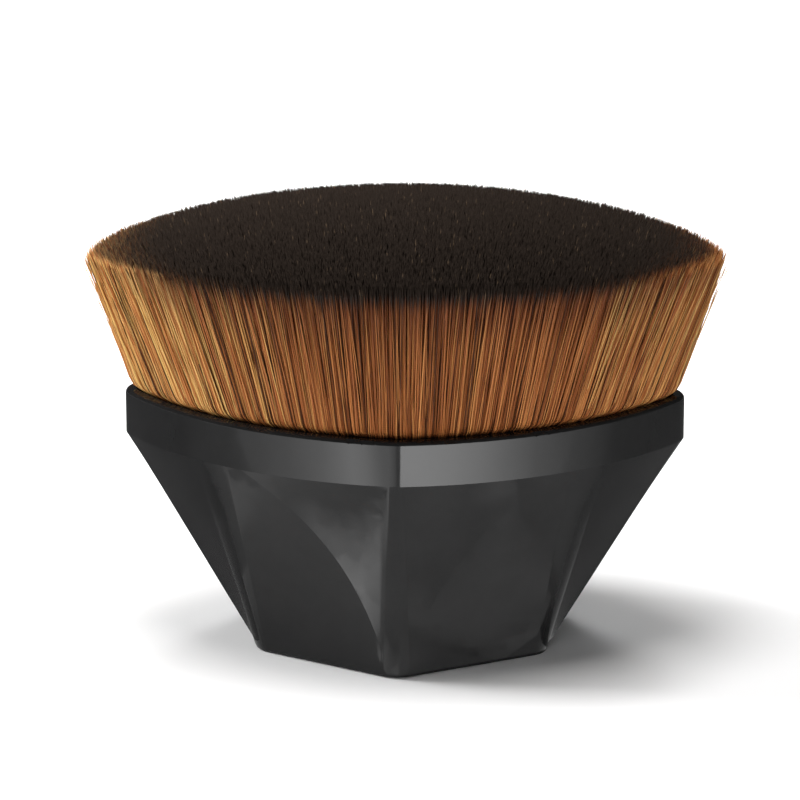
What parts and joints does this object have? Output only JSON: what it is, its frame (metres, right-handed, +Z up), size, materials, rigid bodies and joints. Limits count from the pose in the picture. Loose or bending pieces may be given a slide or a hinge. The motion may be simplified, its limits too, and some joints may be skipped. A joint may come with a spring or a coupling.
{
  "type": "kabuki makeup brush",
  "caption": "Short kabuki makeup brush: a dense flat-topped oval tuft of two-tone filaments in a flared hexagon-footed plastic handle.",
  "frame": {"origin": "middle of the foot's underside", "axes": "+X along the wide side of the rim, -Y towards the front peak, +Z up from the foot to the crown of the tuft"},
  "size_m": [0.0572, 0.0404, 0.0386],
  "materials": {
    "handle_plastic": "satin black",
    "cup_plastic": "matt black",
    "glue": "cured amber",
    "binding": "wound dark thread",
    "filaments": "golden brown with dark brown tips"
  },
  "bodies": {
    "root": {"handle_shell": "handle_plastic", "tuft_cup": "cup_plastic", "seat_glue": "glue", "adhesive_bed": "glue", "root_binding": "binding", "bristle_tuft": "filaments"}
  },
  "joints": []
}
